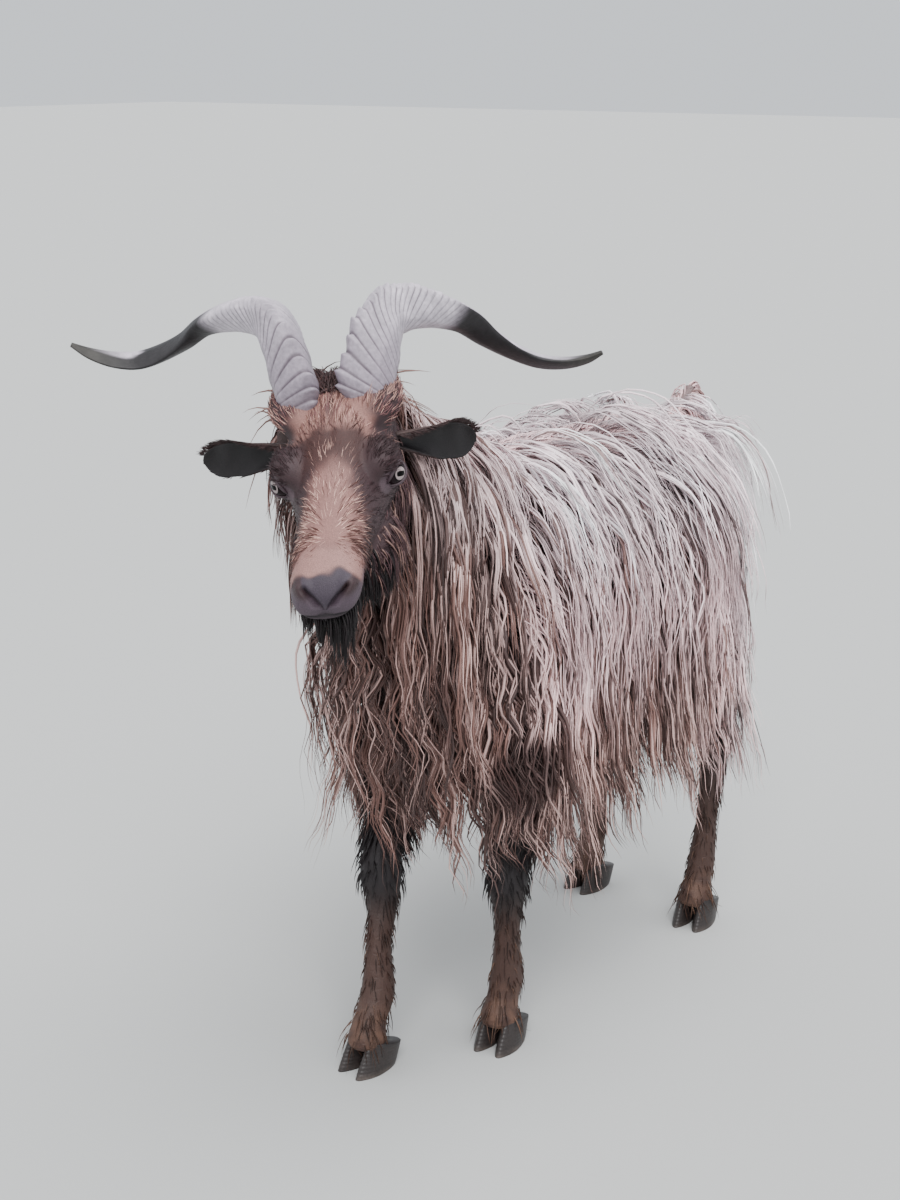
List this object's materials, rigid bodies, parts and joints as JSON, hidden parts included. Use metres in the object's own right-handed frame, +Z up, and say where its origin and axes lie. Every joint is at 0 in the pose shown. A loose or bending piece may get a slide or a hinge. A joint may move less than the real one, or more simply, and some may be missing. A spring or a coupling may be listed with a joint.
{
  "type": "old irish goat",
  "caption": "Life-size standing billy goat with long shaggy silver and brown coat, sweeping ridged horns, head turned to its left.",
  "frame": {"origin": "on the floor, under the middle of the goat's bounding box", "axes": "+Z up, the goat faces -Y, its left side is +X"},
  "size_m": [0.445, 1.0074, 0.9518],
  "materials": {
    "fleece": "long silver guard hair over dark brown underwool",
    "neck_hair": "long tan and brown hair",
    "face": "short tan and dark brown hair",
    "leg": "short black-brown hair, red-brown below",
    "horn": "grey ridged horn, smooth and darker to the tips",
    "hoof": "dark grey horn",
    "ear": "short black hair",
    "eye": "wet, pale iris with a dark level pupil"
  },
  "bodies": {
    "root": {"torso": "fleece", "neck": "neck_hair", "head": "face", "tail": "fleece", "eye_left": "eye", "horn_left": "horn", "ear_left": "ear", "foreleg_left": "leg", "forehoof_left_inner": "hoof", "forehoof_left_outer": "hoof", "hindleg_left": "leg", "hindhoof_left_inner": "hoof", "hindhoof_left_outer": "hoof", "eye_right": "eye", "horn_right": "horn", "ear_right": "ear", "foreleg_right": "leg", "forehoof_right_inner": "hoof", "forehoof_right_outer": "hoof", "hindleg_right": "leg", "hindhoof_right_inner": "hoof", "hindhoof_right_outer": "hoof"}
  },
  "joints": []
}
